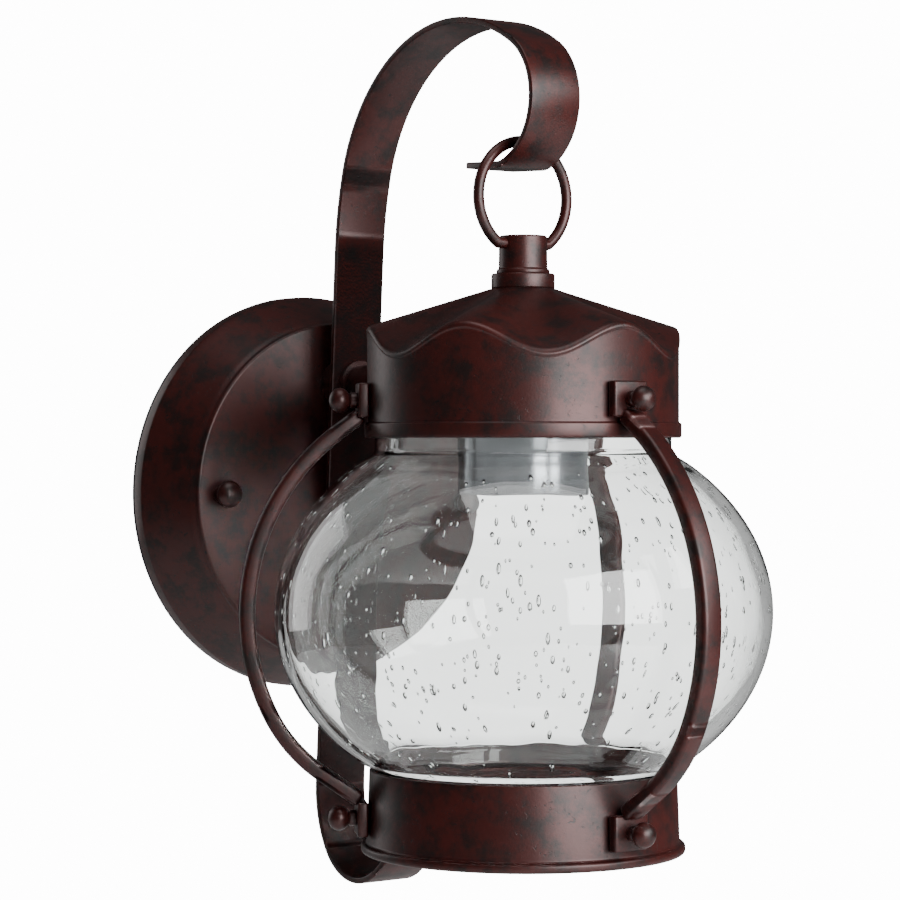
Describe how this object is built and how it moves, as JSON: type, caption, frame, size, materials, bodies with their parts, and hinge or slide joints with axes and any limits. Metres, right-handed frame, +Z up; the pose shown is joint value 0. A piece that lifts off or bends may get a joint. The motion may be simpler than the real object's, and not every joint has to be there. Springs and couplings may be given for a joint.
{
  "type": "outdoor wall lantern",
  "caption": "Onion style outdoor wall lantern: seeded glass globe in a caged frame, hung from a hooked strap on a round back plate.",
  "frame": {"origin": "middle of the crossbar's slotted screw pattern, in the plane of the wall behind the back plate", "axes": "+Z up, +Y into the wall, the lantern stands out along -Y, +X to the right seen from the front"},
  "size_m": [0.1524, 0.2085, 0.2748],
  "materials": {
    "bronze_paint": "satin old-bronze powder coat with fine dark mottling",
    "zinc_steel": "bright zinc plated steel",
    "bright_aluminium": "drawn and polished",
    "brass": "bright drawn brass",
    "phenolic": "moulded phenolic",
    "fibre_liner": "pressed fibre paper",
    "seeded_glass": "clear blown glass with seeds",
    "rubber": "soft black rubber",
    "green_zinc": "green dyed zinc plate",
    "black_insulation": "extruded insulation",
    "white_insulation": "extruded insulation",
    "green_insulation": "extruded insulation",
    "connector_plastic": "moulded wire connector"
  },
  "bodies": {
    "lantern": {"back_plate": "bronze_paint", "hook_strap": "bronze_paint", "strap_spacer": "bronze_paint", "strap_washer": "bronze_paint", "cap_tube": "bronze_paint", "cap": "bronze_paint", "roof_collar": "bronze_paint", "stem": "bronze_paint", "base_ring": "bronze_paint", "arm_front": "bronze_paint", "arm_left": "bronze_paint", "arm_right": "bronze_paint", "crossbar": "zinc_steel", "plate_studs": "zinc_steel", "stud_nuts": "zinc_steel", "wire_nipple": "zinc_steel", "canopy_nut": "zinc_steel", "cap_inner_nut": "zinc_steel", "stem_nipple": "zinc_steel", "stem_lock_nut": "zinc_steel", "cap_nuts": "zinc_steel", "base_nuts": "zinc_steel", "socket_shell": "bright_aluminium", "socket_cap": "bright_aluminium", "screw_shell": "brass", "centre_contact": "brass", "terminal_screws": "brass", "socket_body": "phenolic", "socket_mouth_ring": "phenolic", "socket_liner": "fibre_liner", "glass_globe": "seeded_glass", "top_gasket": "rubber", "bottom_gasket": "rubber", "wall_gasket": "rubber", "ground_screw": "green_zinc", "lead_black": "black_insulation", "lead_white": "white_insulation", "ground_lead": "green_insulation", "black_connector": "connector_plastic", "white_connector": "connector_plastic", "ground_connector": "connector_plastic"},
    "ring": {"ring": "bronze_paint"},
    "plate_nut_left": {"plate_nut_left": "bronze_paint"},
    "plate_nut_right": {"plate_nut_right": "bronze_paint"},
    "cap_screw_front": {"cap_screw_front": "bronze_paint"},
    "cap_screw_left": {"cap_screw_left": "bronze_paint"},
    "cap_screw_right": {"cap_screw_right": "bronze_paint"},
    "base_screw_front": {"base_screw_front": "bronze_paint"},
    "base_screw_left": {"base_screw_left": "bronze_paint"},
    "base_screw_right": {"base_screw_right": "bronze_paint"}
  },
  "joints": [
    {"name": "ring_swing", "type": "hinge", "parent": "lantern", "child": "ring", "pos_m": [0, -0.122, 0.0772], "axis": [1, 0, 0], "range_deg": [-17, 6]},
    {"name": "plate_nut_left_turn", "type": "hinge", "parent": "lantern", "child": "plate_nut_left", "pos_m": [-0.0475, -0.0254, 0], "axis": [0, -1, 0], "continuous": true},
    {"name": "plate_nut_right_turn", "type": "hinge", "parent": "lantern", "child": "plate_nut_right", "pos_m": [0.0475, -0.0254, 0], "axis": [0, -1, 0], "continuous": true},
    {"name": "cap_screw_front_turn", "type": "hinge", "parent": "lantern", "child": "cap_screw_front", "pos_m": [0, -0.1728, 0.0294], "axis": [0, -1, 0], "continuous": true},
    {"name": "cap_screw_left_turn", "type": "hinge", "parent": "lantern", "child": "cap_screw_left", "pos_m": [-0.04399, -0.0966, 0.0294], "axis": [-0.866, 0.5, 0], "continuous": true},
    {"name": "cap_screw_right_turn", "type": "hinge", "parent": "lantern", "child": "cap_screw_right", "pos_m": [0.04399, -0.0966, 0.0294], "axis": [0.866, 0.5, 0], "continuous": true},
    {"name": "base_screw_front_turn", "type": "hinge", "parent": "lantern", "child": "base_screw_front", "pos_m": [0, -0.1728, -0.097], "axis": [0, -1, 0], "continuous": true},
    {"name": "base_screw_left_turn", "type": "hinge", "parent": "lantern", "child": "base_screw_left", "pos_m": [-0.04399, -0.0966, -0.097], "axis": [-0.866, 0.5, 0], "continuous": true},
    {"name": "base_screw_right_turn", "type": "hinge", "parent": "lantern", "child": "base_screw_right", "pos_m": [0.04399, -0.0966, -0.097], "axis": [0.866, 0.5, 0], "continuous": true}
  ]
}
